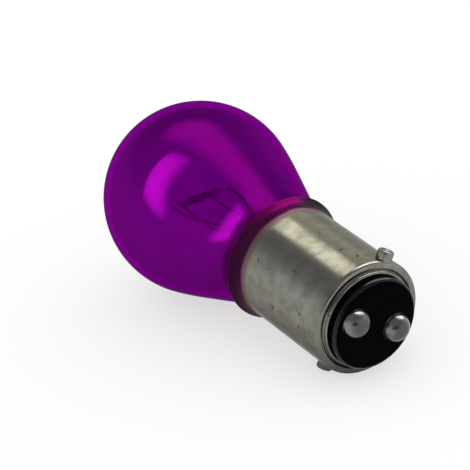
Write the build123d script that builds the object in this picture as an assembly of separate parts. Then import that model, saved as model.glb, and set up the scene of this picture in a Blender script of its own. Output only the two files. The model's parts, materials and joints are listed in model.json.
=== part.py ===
from build123d import *
from math import acos, asin, atan2, cos, degrees, hypot, radians, sin
import os

# Double contact bayonet bulb with offset pins, lying as it comes to rest on a flat surface.
# Sizes are in millimetres, angles in degrees. Each piece is drawn about the bulb's own axis, Z,
# with zero at the outer face of the cap's rim, plus toward the glass and minus toward the contacts.
# The two bayonet pins lie along X and the two contacts along Y. The last step lays the bulb down.

# Driving sizes
cap_diameter = 15.0
globe_diameter = 25.6
globe_height = 36.9
shell_length = 17.8
contact_spacing = 6.5
pin_diameter = 2.0
pin_stand = 1.1

# Cap shell
cap_radius = cap_diameter / 2
shell_wall = 0.3
shell_bore = cap_radius - shell_wall
rim_round = 0.5
end_wall = 0.5
rim_width = 0.85
groove_width = 0.3
groove_depth = 0.15
groove_outer = cap_radius - rim_width
groove_inner = groove_outer - groove_width
collar_width = 0.6
collar_bore = groove_inner - collar_width
collar_height = collar_width / 2
lip_flare = 0.88
flare_length = 2.2
flare_start = shell_length - flare_length
flare_round = (flare_length ** 2 + lip_flare ** 2) / (2 * lip_flare)
flare_angle = degrees(asin(flare_length / flare_round))

# Bayonet pins
near_pin_height = 1.05
pin_offset = 2.95
far_pin_height = near_pin_height + pin_offset
pin_radius = pin_diameter / 2
pin_tip = cap_radius + pin_stand
pin_round = 0.25
pin_shank = 0.7
pin_dimple = 0.4
pin_dimple_depth = 0.3

# Glass envelope
globe_radius = globe_diameter / 2
glass_wall = 0.7
neck_clearance = 0.2
neck_radius = cap_radius - neck_clearance
neck_sweep = 400.0
neck_tuck = 0.3
seal_height = 10.6
seal_taper = 2.0
seal_radius = neck_radius - seal_taper

# Insulator, contact eyelets and solder contacts
insulator_top = 3.0
boss_height = 1.75
boss_round = 0.3
eyelet_radius = 1.3
eyelet_bore = 0.7
eyelet_flange = 1.6
eyelet_flange_thickness = 0.3
contact_radius = 1.7
contact_height = 1.65
contact_plug = 1.0

# Glass stem, exhaust tube and bead
stem_radius = 4.0
stem_wall = 0.75
stem_seal = 0.9
stem_shoulder = 15.4
stem_crown = 18.4
stem_crown_radius = 1.4
press_top = 21.2
press_thickness = 2.8
press_chamfer = 0.5
vent_radius = 0.55
exhaust_radius = 1.4
exhaust_wall = 0.6
exhaust_tip = 5.8
bead_height = 26.5
bead_radius = 1.1
bead_length = 8.6
bead_chamfer = 0.6

# Lead wires and filaments; the mount is turned about the axis away from the pin line
mount_turn = 67.5
ground_turn = 112.5
wire_diameter = 0.35
wire_runout = 0.6
wire_overrun = 0.5
light_reach = 31.8
light_centre = far_pin_height + light_reach
filament_offset = 2.8
minor_centre = light_centre + filament_offset
major_lead_reach = 4.0
major_lead_side = -0.7
minor_lead_reach = 2.9
minor_lead_side = 1.5
outer_bead_reach = 3.3
inner_bead_reach = 2.0
outer_press_reach = 2.75
inner_press_reach = 1.85
ground_press_reach = 2.4
bracket_foot = 23.2
cap_crossing = 4.6
ground_crossing = 9.4
wire_inset = 0.2
throat_rise = 0.8
wire_clearance = 0.06
lip_rise = 0.75
lip_pass = shell_length + lip_rise
lip_clearance = 0.3
wire_end = cap_radius + lip_flare + lip_clearance
major_coil = {"radius": 0.42, "pitch": 0.84, "turns": 6, "wire": 0.16}
minor_coil = {"radius": 0.3, "pitch": 0.84, "turns": 4, "wire": 0.13}
tail_share = 0.9
joint_share = 1.1

# Cement ring and ground solder
cement_low = 11.4
cement_high = 17.0
solder_height = 16.7
solder_reach = cap_radius + 1.5
solder_ball = 2.8

# Solids that start at a place and run up the axis, or down it
STANDING = (Align.CENTER, Align.CENTER, Align.MIN)
HANGING = (Align.CENTER, Align.CENTER, Align.MAX)


def turned(outline):
    """Turns a closed outline of (radius, height) curves into a solid about the axis."""
    return revolve(Plane.XZ * make_face(outline), Axis.Z)


def neck_turn(inset):
    """Angle at the globe's centre where the globe goes over into the hollow sweep of the neck."""
    neck = neck_radius - inset
    reach = hypot(neck, globe_height - shell_length)
    spread = globe_radius - inset + neck_sweep
    opening = acos((reach ** 2 + spread ** 2 - neck_sweep ** 2) / (2 * reach * spread))
    return atan2(shell_length - globe_height, neck) + opening


def neck_reach(height):
    """Outer radius of the glass at a height on the hollow sweep."""
    spread = globe_radius + neck_sweep
    turn = neck_turn(0)
    rise = height - globe_height - spread * sin(turn)
    return spread * cos(turn) - (neck_sweep ** 2 - rise ** 2) ** 0.5


def envelope_body(inset):
    """Solid bounded by the glass: tucked-in neck, long hollow sweep and globe, all radii less the inset."""
    globe = globe_radius - inset
    neck = neck_radius - inset
    seal = seal_radius - inset
    turn = neck_turn(inset)
    joint = (globe * cos(turn), globe_height + globe * sin(turn))
    middle = ((seal + neck) / 2 - neck_tuck, (seal_height + shell_length) / 2)
    tip = (0, globe_height + globe)
    outline = [
        Line((0, seal_height), (seal, seal_height)),
        ThreePointArc((seal, seal_height), middle, (neck, shell_length)),
        RadiusArc((neck, shell_length), joint, neck_sweep),
        CenterArc((0, globe_height), globe, degrees(turn), 90 - degrees(turn)),
        Line(tip, (0, seal_height)),
    ]
    return turned(outline)


def flare_arcs():
    """Outer and inner curve of the flared lip, each from its edge back to the straight barrel."""
    centre = (cap_radius + flare_round, flare_start)
    outer = CenterArc(centre, flare_round, 180 - flare_angle, flare_angle)
    inner = CenterArc(centre, flare_round + shell_wall, 180 - flare_angle, flare_angle)
    return outer, inner


def shell_cavity():
    """Space inside the cap shell, up past the flared lip."""
    inner_arc = flare_arcs()[1]
    edge = inner_arc @ 0
    outline = [
        Line((0, end_wall), (shell_bore, end_wall)),
        Line((shell_bore, end_wall), (shell_bore, flare_start)),
        inner_arc,
        Line((edge.X, edge.Y), (0, edge.Y)),
        Line((0, edge.Y), (0, end_wall)),
    ]
    return turned(outline)


def cap_shell():
    """Drawn brass shell: flared lip, straight barrel, rounded rim, groove and raised collar, pin holes."""
    outer_arc, inner_arc = flare_arcs()
    rim_centre = (cap_radius - rim_round, rim_round)
    groove_middle = ((groove_outer + groove_inner) / 2, groove_depth)
    collar_middle = (groove_inner - collar_width / 2, -collar_height)
    outline = [
        outer_arc,
        Line((cap_radius, flare_start), (cap_radius, rim_round)),
        CenterArc(rim_centre, rim_round, 270, 90),
        Line((cap_radius - rim_round, 0), (groove_outer, 0)),
        Polyline((groove_outer, 0), groove_middle, (groove_inner, 0)),
        ThreePointArc((groove_inner, 0), collar_middle, (collar_bore, 0)),
        Line((collar_bore, 0), (collar_bore, end_wall)),
        Line((collar_bore, end_wall), (shell_bore, end_wall)),
        Line((shell_bore, end_wall), (shell_bore, flare_start)),
        inner_arc,
        Line(inner_arc @ 0, outer_arc @ 0),
    ]
    near_hole = pin_shaft(near_pin_height, 0, pin_shank)
    far_hole = pin_shaft(far_pin_height, 180, pin_shank)
    return turned(outline) - near_hole - far_hole


def pin_shaft(height, turn, radius):
    """Round bar across the axis, from the bore of the shell out to the pin's tip."""
    bar = Pos(shell_bore, 0, height) * Rot(0, 90, 0) * Cylinder(radius, pin_tip - shell_bore, align=STANDING)
    return Rot(0, 0, turn) * bar


def bayonet_pin(height, turn):
    """Pin seated on the barrel with a thinner shank through the wall, a rounded end and a rivet dimple."""
    head = pin_shaft(height, 0, pin_radius)
    head = fillet(head.edges().sort_by(Axis.X)[-1], pin_round)
    head -= Cylinder(cap_radius, 2 * shell_length)
    dimple = Pos(pin_tip, 0, height) * Rot(0, -90, 0) * Cone(pin_dimple, 0, pin_dimple_depth, align=STANDING)
    shank = pin_shaft(height, 0, pin_shank) & Cylinder(cap_radius + pin_round, 2 * shell_length)
    return Rot(0, 0, turn) * (head - dimple + shank)


def glass_envelope():
    """Blown glass with an even wall, open only at its sealed neck."""
    return envelope_body(0) - envelope_body(glass_wall)


def insulator():
    """Black glass disc cast into the shell, with the boss through the collar and two eyelet seats."""
    disc = Pos(0, 0, end_wall) * Cylinder(shell_bore, insulator_top - end_wall, align=STANDING)
    boss_length = boss_height + end_wall
    boss = Pos(0, 0, -boss_height) * Cylinder(collar_bore, boss_length, align=STANDING)
    boss = fillet(boss.edges().sort_by(Axis.Z)[0], boss_round)
    body = disc + boss
    for side in (1, -1):
        body -= eyelet_seat(side)
    return body


def at_contact(side):
    """Place of a contact on the face of the insulator's boss."""
    return Pos(0, side * contact_spacing / 2, -boss_height)


def eyelet_seat(side):
    """Outside of a contact eyelet: tube through the insulator and flange sunk flush with the boss."""
    tube = Cylinder(eyelet_radius, insulator_top + boss_height, align=STANDING)
    flange = Cylinder(eyelet_flange, eyelet_flange_thickness, align=STANDING)
    return at_contact(side) * (tube + flange)


def contact_eyelet(side):
    """Brass eyelet cast into the insulator."""
    bore = at_contact(side) * Cylinder(eyelet_bore, 4 * insulator_top)
    return eyelet_seat(side) - bore


def solder_contact(side, wire):
    """Domed solder on the eyelet's face, with a plug that runs into the eyelet around the lead wire."""
    dome_radius = (contact_radius ** 2 + contact_height ** 2) / (2 * contact_height)
    ball = Pos(0, 0, dome_radius - contact_height) * Sphere(dome_radius)
    below = Box(4 * dome_radius, 4 * dome_radius, 4 * dome_radius, align=HANGING)
    plug = Cylinder(eyelet_bore, contact_plug, align=STANDING)
    return at_contact(side) * ((ball & below) + plug) - wire


def mount_point(reach, side, height):
    """Point on the filament mount: along the filament, across it, and up the axis."""
    turn = radians(mount_turn)
    return (reach * cos(turn) - side * sin(turn), reach * sin(turn) + side * cos(turn), height)


def bent_wire(points):
    """Round wire along straight runs with sharp bends."""
    path = Polyline(*points)
    section = Plane(path @ 0, z_dir=path % 0) * Circle(wire_diameter / 2)
    return sweep(section, path=path, transition=Transition.RIGHT)


def mount_run(end, reach, side, bead_reach, press_reach):
    """Points of a wire from its filament end down through the bead and the stem press."""
    bead_top = bead_height + 2 * bead_radius
    bead_foot = bead_height - 2 * bead_radius
    return [
        mount_point(reach, side, end + wire_overrun),
        mount_point(reach, side, end - filament_offset),
        mount_point(bead_reach, 0, bead_top),
        mount_point(bead_reach, 0, bead_foot),
        mount_point(press_reach, 0, press_top + wire_runout),
    ]


def lead_wire(side, end, reach, mount_side, bead_reach, press_reach):
    """Feed wire from a filament through bead, press and cap to its contact."""
    contact = side * contact_spacing / 2
    points = mount_run(end, reach, mount_side, bead_reach, press_reach)
    points.append(mount_point(press_reach, 0, cap_crossing))
    points.append((0, contact, cap_crossing - wire_runout))
    points.append((0, contact, -boss_height - contact_height / 2))
    return bent_wire(points)


def ground_point(reach, height):
    """Point on the ground wire's way out under the seal and up over the lip."""
    turn = radians(ground_turn)
    return (reach * cos(turn), reach * sin(turn), height)


def ground_wire():
    """Common return: from the major filament through the press, out under the seal and up over the lip."""
    points = mount_run(light_centre, major_lead_reach, major_lead_side, outer_bead_reach, ground_press_reach)
    beside_glass = wire_diameter / 2 + wire_clearance
    points.append(mount_point(ground_press_reach, 0, ground_crossing))
    points.append(ground_point(seal_radius + wire_runout, ground_crossing))
    points.append(ground_point(shell_bore - wire_inset, flare_start + throat_rise))
    points.append(ground_point(neck_radius + beside_glass, shell_length - wire_diameter / 2))
    points.append(ground_point(neck_reach(lip_pass + wire_diameter) + beside_glass, lip_pass))
    points.append(ground_point(wire_end, lip_pass))
    points.append(ground_point(wire_end, solder_height))
    return bent_wire(points)


def ground_reach(height):
    """Reach of the ground wire at a height between the bead and the press."""
    bead_foot = bead_height - 2 * bead_radius
    share = (bead_foot - height) / (bead_foot - press_top - wire_runout)
    return outer_bead_reach + (ground_press_reach - outer_bead_reach) * share


def minor_bracket_wire():
    """Short wire that carries the minor filament's far end, welded to the ground wire under the bead."""
    weld_reach = ground_reach(bracket_foot) - wire_diameter / 4
    points = mount_run(minor_centre, minor_lead_reach, minor_lead_side, inner_bead_reach, ground_press_reach)
    points = points[:-1] + [mount_point(weld_reach, 0, bracket_foot)]
    return bent_wire(points)


def filament(coil, height, lead_reach, side):
    """Coil of tungsten wire between two leads, its straight tails passing through them."""
    length = coil["pitch"] * coil["turns"]
    thin = tail_share * coil["wire"]
    thick = joint_share * coil["wire"]
    path = Helix(coil["pitch"], length, coil["radius"])
    section = Plane(path @ 0, z_dir=path % 0) * Rectangle(coil["wire"], coil["wire"])
    body = sweep(section, path=path, is_frenet=True)
    tail = lead_reach + wire_diameter - length / 2
    for end, lean in ((0, 180), (length, 0)):
        straight = Rot(lean, 0, 0) * Box(thin, thin, tail, align=STANDING)
        body += Pos(coil["radius"], 0, end) * (straight + Box(thick, thick, thick))
    coiled = Pos(0, 0, -length / 2) * body
    return Rot(0, 0, mount_turn) * Pos(0, side, height) * Rot(0, 90, 0) * coiled


def glass_stem(wires):
    """Stem tube flared out to the neck and fused into it, its shoulder pinched flat around the lead wires."""
    outline = Polyline(
        (stem_radius - stem_wall, seal_height),
        (seal_radius, seal_height),
        (seal_radius, seal_height + stem_seal),
        (stem_radius, seal_height + 2 * stem_seal),
        (stem_radius, stem_shoulder),
        (stem_crown_radius, stem_crown),
        (0, stem_crown),
        (0, stem_shoulder),
        (stem_radius - stem_wall, stem_shoulder),
        close=True,
    )
    tube = turned(outline) & envelope_body(glass_wall)
    press = extrude(SlotOverall(2 * stem_radius, press_thickness), press_top - stem_shoulder)
    press = chamfer(press.faces().sort_by(Axis.Z)[-1].edges(), press_chamfer)
    vent_height = (stem_shoulder + stem_crown) / 2
    vent = Pos(0, 0, vent_height) * Rot(90, 0, 0) * Cylinder(vent_radius, 3 * stem_radius)
    vent += Pos(0, 0, stem_shoulder) * Cylinder(vent_radius, vent_height - stem_shoulder, align=STANDING)
    body = Rot(0, 0, mount_turn) * (tube + Pos(0, 0, stem_shoulder) * press - vent)
    for wire in wires:
        body -= wire
    return body


def exhaust_tube():
    """Thin tube under the press, drawn off and closed to a round tip."""
    length = stem_shoulder - exhaust_tip - exhaust_radius
    bore = exhaust_radius - exhaust_wall
    outside = Pos(0, 0, stem_shoulder) * Cylinder(exhaust_radius, length, align=HANGING)
    inside = Pos(0, 0, stem_shoulder) * Cylinder(bore, length, align=HANGING)
    tip = Pos(0, 0, exhaust_tip + exhaust_radius)
    return outside + tip * Sphere(exhaust_radius) - inside


def glass_bead(wires):
    """Bead of glass pressed across the four mount wires."""
    bar = Rot(0, 90, 0) * Cylinder(bead_radius, bead_length)
    bar = chamfer(bar.edges().filter_by(GeomType.CIRCLE), bead_chamfer)
    body = Rot(0, 0, mount_turn) * Pos(0, 0, bead_height) * bar
    for wire in wires:
        body -= wire
    return body


def base_cement(ground):
    """Ring of cement that fills the cap between the shell and the glass neck."""
    ring = Pos(0, 0, cement_low) * Cylinder(cap_diameter, cement_high - cement_low, align=STANDING)
    return (ring & shell_cavity()) - envelope_body(0) - ground


def ground_solder(ground):
    """Drop of solder that joins the ground wire to the outside of the lip."""
    drop = Pos(*ground_point(solder_reach - solder_ball, solder_height)) * Sphere(solder_ball)
    outer_arc, inner_arc = flare_arcs()
    edge = inner_arc @ 0
    above = 2 * shell_length
    outline = [
        Line((0, 0), (cap_radius, 0)),
        Line((cap_radius, 0), (cap_radius, flare_start)),
        outer_arc,
        Line(outer_arc @ 0, edge),
        Line((edge.X, edge.Y), (edge.X, above)),
        Line((edge.X, above), (0, above)),
        Line((0, above), (0, 0)),
    ]
    soldered = drop - turned(outline) - ground
    return soldered.solids().sort_by(SortBy.VOLUME)[-1]


def rest_tilt():
    """Angle of the axis when the globe and the rim both touch the floor."""
    run = globe_height - rim_round
    rise = cap_radius - rim_round
    return asin((globe_radius - rim_round) / hypot(run, rise)) - atan2(rise, run)


def rest_roll(tilt):
    """Angle of the far pin from straight down when the rounded edge of its end touches the floor too."""
    axis_height = globe_radius - (globe_height - far_pin_height) * sin(tilt)
    reach = pin_tip - pin_round
    width = pin_radius - pin_round
    lean = atan2(width, reach) + acos((axis_height - pin_round) / hypot(reach, width))
    return acos(cos(lean) / cos(tilt))


def rest_plane():
    """Frame of the bulb as it lies: glass toward minus X, cap toward plus X, floor at zero."""
    tilt = rest_tilt()
    roll = rest_roll(tilt)
    axis = Vector(-cos(tilt), 0, sin(tilt))
    down = Vector(-sin(tilt), 0, -cos(tilt))
    far_pin = down * cos(roll) - Vector(0, 1, 0) * sin(roll)
    return Plane((0, 0, globe_radius - globe_height * sin(tilt)), x_dir=-far_pin, z_dir=axis)


def lead_wires():
    """The four wires of the mount by name, before the holes for the filament tails are cut."""
    major = (light_centre, -major_lead_reach, major_lead_side, -outer_bead_reach, -outer_press_reach)
    minor = (minor_centre, -minor_lead_reach, minor_lead_side, -inner_bead_reach, -inner_press_reach)
    return {
        "major_lead_wire": lead_wire(-1, *major),
        "minor_lead_wire": lead_wire(1, *minor),
        "ground_wire": ground_wire(),
        "minor_bracket_wire": minor_bracket_wire(),
    }


def build_pieces():
    """Every piece of the bulb by node name, drawn about the bulb's own axis."""
    wires = lead_wires()
    solid_wires = list(wires.values())
    pieces = {
        "glass_envelope": glass_envelope(),
        "glass_stem": glass_stem(solid_wires),
        "exhaust_tube": exhaust_tube(),
        "glass_bead": glass_bead(solid_wires),
        "major_filament": filament(major_coil, light_centre, major_lead_reach, major_lead_side),
        "minor_filament": filament(minor_coil, minor_centre, minor_lead_reach, minor_lead_side),
        "cap_shell": cap_shell(),
        "near_bayonet_pin": bayonet_pin(near_pin_height, 0),
        "far_bayonet_pin": bayonet_pin(far_pin_height, 180),
        "insulator": insulator(),
        "major_contact_eyelet": contact_eyelet(-1),
        "minor_contact_eyelet": contact_eyelet(1),
        "major_solder_contact": solder_contact(-1, wires["major_lead_wire"]),
        "minor_solder_contact": solder_contact(1, wires["minor_lead_wire"]),
        "base_cement": base_cement(wires["ground_wire"]),
    }
    pieces["ground_solder"] = ground_solder(wires["ground_wire"])
    for name, wire in wires.items():
        filament_name = "minor_filament" if name.startswith("minor") else "major_filament"
        pieces[name] = wire - pieces[filament_name]
    pieces["minor_bracket_wire"] -= wires["ground_wire"]
    return pieces


def lay_down(pieces):
    """Lays every piece on the floor and brings the middle of the whole over the origin."""
    plane = rest_plane()
    laid = {name: plane.location * piece for name, piece in pieces.items()}
    box = Compound(children=[Compound(piece.solids()) for piece in laid.values()]).bounding_box()
    middle = box.center()
    return {name: Pos(-middle.X, -middle.Y, 0) * piece for name, piece in laid.items()}


os.makedirs("parts", exist_ok=True)
for node, shape in lay_down(build_pieces()).items():
    export_step(shape, f"parts/{node}.step")
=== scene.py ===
"""Looks of a purple double contact bayonet bulb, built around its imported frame.

Sizes of the bulb are in millimetres in the bulb's own axes: zero at the outer face of the cap's rim,
height plus toward the glass, the bayonet pins along X and the contacts along Y. A single matrix takes
them to metres in the frame.
"""

import json
import logging
from dataclasses import dataclass, field
from enum import Enum
from math import acos, asin, atan2, cos, degrees, hypot, pi, radians, sin, tan

import bmesh
import bpy
from bpy.types import AreaLight, ID, Material, Mesh, Node, NodeSocket as Socket, NodeTree, Object
from mathutils import Matrix, Vector, noise


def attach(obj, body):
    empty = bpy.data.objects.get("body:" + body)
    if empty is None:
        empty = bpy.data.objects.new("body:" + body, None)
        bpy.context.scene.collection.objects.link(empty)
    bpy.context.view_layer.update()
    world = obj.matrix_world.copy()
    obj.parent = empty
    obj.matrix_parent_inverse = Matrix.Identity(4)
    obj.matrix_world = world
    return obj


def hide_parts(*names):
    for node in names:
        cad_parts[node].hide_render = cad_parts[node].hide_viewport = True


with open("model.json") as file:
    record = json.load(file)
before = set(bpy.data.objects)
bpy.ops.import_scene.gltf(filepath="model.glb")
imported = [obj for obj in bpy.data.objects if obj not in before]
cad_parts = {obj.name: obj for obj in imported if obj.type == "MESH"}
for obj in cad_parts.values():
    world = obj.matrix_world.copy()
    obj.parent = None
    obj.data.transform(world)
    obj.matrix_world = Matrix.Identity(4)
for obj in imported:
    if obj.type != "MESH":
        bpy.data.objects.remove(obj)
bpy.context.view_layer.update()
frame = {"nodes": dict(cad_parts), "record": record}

BODY = "root"
LOG = logging.getLogger("bulb")

# A millimetre in metres
MM = 0.001

# Distances under which points merge: of shapes in millimetres, of copied nodes in metres
MERGE = 1e-5
COPY_MERGE = MM * 1e-4

# Detail of the shapes
SHARP_ANGLE = radians(35)
RAIL_RADIUS = 1.0
WIRE_FACES = 16
BEND_STEPS = 8
COIL_FACES = 8
COIL_START = 0.05
TURN_POINTS = 20
LEG_POINTS = 20

# Pits of a surface, and where the crown of the lying bulb begins and ends in millimetres
PIT_EDGE = 0.05
PIT_DEPTH = 0.6
# The crown is the lit top of the lying bulb, which gets painted highlight and no painted shade
CROWN_RISE = (16.2, 17.6)
CROWN_FAR = (2.0, 4.0)

# Types of node sockets
FLOAT = "NodeSocketFloat"
INTEGER = "NodeSocketInt"
COLOUR = "NodeSocketColor"
MATERIAL = "NodeSocketMaterial"
GEOMETRY = "NodeSocketGeometry"

Colour = tuple[float, float, float]
Point = tuple[float, float, float]
Flat = tuple[float, float]
Sockets = bpy.types.bpy_prop_collection


class Slot(Enum):
    """Material slots of the record."""

    PURPLE_GLASS = "purple_glass"
    CLEAR_GLASS = "clear_glass"
    TUNGSTEN = "tungsten"
    NICKEL = "nickel_plate"
    BLACK_GLASS = "black_glass"
    BRASS = "brass"
    SOLDER = "solder"
    CEMENT = "cement"
    LEAD_WIRE = "lead_wire"


class Reach(Enum):
    """What a lamp lights: only the glass, or all but the glass."""

    GLASS = "INCLUDE"
    NOT_GLASS = "EXCLUDE"


# Node trees

class Graph:
    """A node tree being built, with short calls for adding and linking nodes."""

    def __init__(self, tree: NodeTree) -> None:
        """Keeps the tree that the nodes go into."""
        self.tree = tree

    def feed(self, node: Node, values: dict[str | int, object]) -> None:
        """Links or sets inputs of a node.

        Args:
            node: Node whose inputs are fed.
            values: An output socket to link or a plain value, by the input's name or place.
        """
        for key, value in values.items():
            if isinstance(value, Socket):
                self.tree.links.new(value, node.inputs[key])
            else:
                node.inputs[key].default_value = value

    def add(self, kind: str, inputs: dict | None = None, **settings: object) -> Node:
        """Adds a node.

        Args:
            kind: Blender's name of the node's type.
            inputs: Values or sockets for its inputs, by name or place.
            settings: Properties of the node.

        Returns:
            The new node.
        """
        node = self.tree.nodes.new(kind)
        for name, value in settings.items():
            setattr(node, name, value)
        self.feed(node, inputs or {})
        return node

    def math(self, operation: str, *values: object) -> Socket:
        """Result of one math operation on values or sockets."""
        return self.add("ShaderNodeMath", dict(enumerate(values)), operation=operation).outputs[0]

    def ramp(self, value: object, low: object, high: object, start: float = 0.0, end: float = 1.0) -> Socket:
        """Smooth step of a value from low to high, as start to end."""
        inputs = {"Value": value, "From Min": low, "From Max": high, "To Min": start, "To Max": end}
        return self.add("ShaderNodeMapRange", inputs, interpolation_type="SMOOTHSTEP").outputs["Result"]

    def mix(self, share: object, first: object, second: object) -> Socket:
        """Colour between two colours or colour sockets."""
        return self.add("ShaderNodeMix", {0: share, 6: first, 7: second}, data_type="RGBA").outputs[2]

    def group(self, tree: NodeTree, inputs: dict) -> Sockets:
        """Outputs of a shared node group, placed with its own values."""
        return self.add("ShaderNodeGroup", inputs, node_tree=tree).outputs

    def place(self) -> Socket:
        """Place of a point in object coordinates."""
        return self.add("ShaderNodeTexCoord").outputs["Object"]

    def noise(self, scale: object, detail: float, roughness: float = 0.5) -> Socket:
        """Noise over a piece, in object coordinates."""
        inputs = {"Vector": self.place(), "Scale": scale, "Detail": detail, "Roughness": roughness}
        return self.add("ShaderNodeTexNoise", inputs).outputs["Fac"]

    def seen(self) -> Socket:
        """Tells what is seen by the camera, in gloss or through glass from diffuse light.

        Returns:
            A socket that is 1 for what is seen and 0 for diffuse light.
        """
        path = self.add("ShaderNodeLightPath").outputs
        direct = self.math("MAXIMUM", path["Is Camera Ray"], path["Is Glossy Ray"])
        return self.math("MAXIMUM", direct, path["Is Transmission Ray"])


def rgba(colour: Colour) -> tuple[float, float, float, float]:
    """A colour with full alpha."""
    return (*colour, 1.0)


def add_object(name: str, data: ID) -> Object:
    """Puts new data in the scene.

    Args:
        name: Name of the object.
        data: Mesh, lamp or camera that it holds.

    Returns:
        The object.
    """
    item = bpy.data.objects.new(name, data)
    bpy.context.scene.collection.objects.link(item)
    return item


# Geometry node trees

@dataclass
class ShapeTree:
    """A geometry node tree with named inputs, which turns the edges of a start mesh into a plain mesh."""

    graph: Graph
    sockets: dict[str, str]
    given: Sockets
    path: Socket

    @classmethod
    def begin(cls, name: str, inputs: dict[str, str]) -> "ShapeTree":
        """Makes a tree that begins with the start mesh as a curve.

        Args:
            name: Name of the tree.
            inputs: Socket type of each named input between the geometry and the finish.

        Returns:
            The tree with its inputs and output.
        """
        tree = bpy.data.node_groups.new(name, "GeometryNodeTree")
        sockets = {}
        for label, kind in ({"Start": GEOMETRY} | inputs | {"Finish": MATERIAL}).items():
            socket = tree.interface.new_socket(name=label, in_out="INPUT", socket_type=kind)
            sockets[label] = socket.identifier
        tree.interface.new_socket(name="Shape", in_out="OUTPUT", socket_type=GEOMETRY)
        graph = Graph(tree)
        given = graph.add("NodeGroupInput").outputs
        path = graph.add("GeometryNodeMeshToCurve", {"Mesh": given["Start"]}).outputs[0]
        return cls(graph, sockets, given, path)

    def circle(self, points: object, radius: object) -> Socket:
        """Round curve about the axis."""
        inputs = {"Resolution": points, "Radius": radius}
        return self.graph.add("GeometryNodeCurvePrimitiveCircle", inputs).outputs[0]

    def end(self, curve: Socket, profile: Socket, caps: bool) -> None:
        """Closes the tree: a profile swept along a curve, with smooth faces and the finish.

        Args:
            curve: Curve that the profile follows.
            profile: Curve that is swept.
            caps: Whether the ends are closed.
        """
        steps = {
            "GeometryNodeCurveToMesh": {"Profile Curve": profile, "Fill Caps": caps},
            "GeometryNodeMergeByDistance": {"Distance": MERGE},
            "GeometryNodeSetShadeSmooth": {},
            "GeometryNodeRealizeInstances": {},
            "GeometryNodeSetMaterial": {"Material": self.given["Finish"]},
        }
        made = curve
        for kind, inputs in steps.items():
            made = self.graph.add(kind, {0: made} | inputs).outputs[0]
        self.graph.add("NodeGroupOutput", {0: made})

    def run(self, name: str, start: Mesh, values: dict[str, object]) -> Mesh:
        """Evaluates the tree on a mesh.

        Args:
            name: Name of the new mesh.
            start: Mesh that the tree begins with.
            values: Value of each named input.

        Returns:
            The plain mesh.
        """
        holder = add_object(name, start)
        modifier = holder.modifiers.new(name, "NODES")
        modifier.node_group = self.graph.tree
        for label, value in values.items():
            modifier[self.sockets[label]] = value
        shaped = holder.evaluated_get(bpy.context.evaluated_depsgraph_get())
        mesh = bpy.data.meshes.new_from_object(shaped)
        mesh.name = name
        holder.modifiers.remove(modifier)
        bpy.data.objects.remove(holder)
        return mesh


def turned_tree() -> ShapeTree:
    """Makes the tree that turns an outline about the axis, by sweeping it round a small rail.

    Returns:
        The tree, with an input for the segments.
    """
    shape = ShapeTree.begin("Turned body", {"Segments": INTEGER})
    rail = shape.circle(shape.given["Segments"], RAIL_RADIUS)
    shape.end(rail, shape.path, caps=False)
    return shape


def wire_tree() -> ShapeTree:
    """Makes the tree that lays a round wire along straight runs, with a small round at each bend.

    Returns:
        The tree, with inputs for the wire and its bends.
    """
    shape = ShapeTree.begin("Bent wire", {"Wire radius": FLOAT, "Bend radius": FLOAT})
    given = shape.given
    bends = {"Curve": shape.path, "Count": BEND_STEPS, "Radius": given["Bend radius"], "Limit Radius": True}
    bent = shape.graph.add("GeometryNodeFilletCurve", bends, mode="POLY").outputs[0]
    shape.end(bent, shape.circle(WIRE_FACES, given["Wire radius"]), caps=True)
    return shape


def coil_tree() -> ShapeTree:
    """Makes the tree that winds a straight start edge into a coil with straight legs at both ends.

    Returns:
        The tree, with inputs for the coil and its wire.
    """
    kinds = dict.fromkeys(("Turns", "Coil radius", "Leg share", "Wire radius"), FLOAT)
    shape = ShapeTree.begin("Coiled wire", kinds | {"Points": INTEGER})
    graph = shape.graph
    given = shape.given
    fine = graph.add("GeometryNodeResampleCurve", {"Curve": shape.path, "Count": given["Points"]}).outputs[0]
    along = graph.add("GeometryNodeSplineParameter").outputs["Factor"]
    coiled = graph.math("SUBTRACT", 1.0, graph.math("MULTIPLY", given["Leg share"], 2.0))
    share = graph.math("DIVIDE", graph.math("SUBTRACT", along, given["Leg share"]), coiled)
    held = graph.math("MINIMUM", graph.math("MAXIMUM", share, 0.0), 1.0)
    edge = graph.math("MINIMUM", held, graph.math("SUBTRACT", 1.0, held))
    reach = graph.math("MULTIPLY", graph.ramp(edge, 0.0, COIL_START), given["Coil radius"])
    angle = graph.math("MULTIPLY", graph.math("MULTIPLY", held, given["Turns"]), 2 * pi)
    side = graph.math("MULTIPLY", reach, graph.math("COSINE", angle))
    rise = graph.math("MULTIPLY", reach, graph.math("SINE", angle))
    offset = graph.add("ShaderNodeCombineXYZ", {"Y": side, "Z": rise}).outputs[0]
    wound = graph.add("GeometryNodeSetPosition", {"Geometry": fine, "Offset": offset}).outputs[0]
    shape.end(wound, shape.circle(COIL_FACES, given["Wire radius"]), caps=True)
    return shape


# Outlines and meshes

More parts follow.
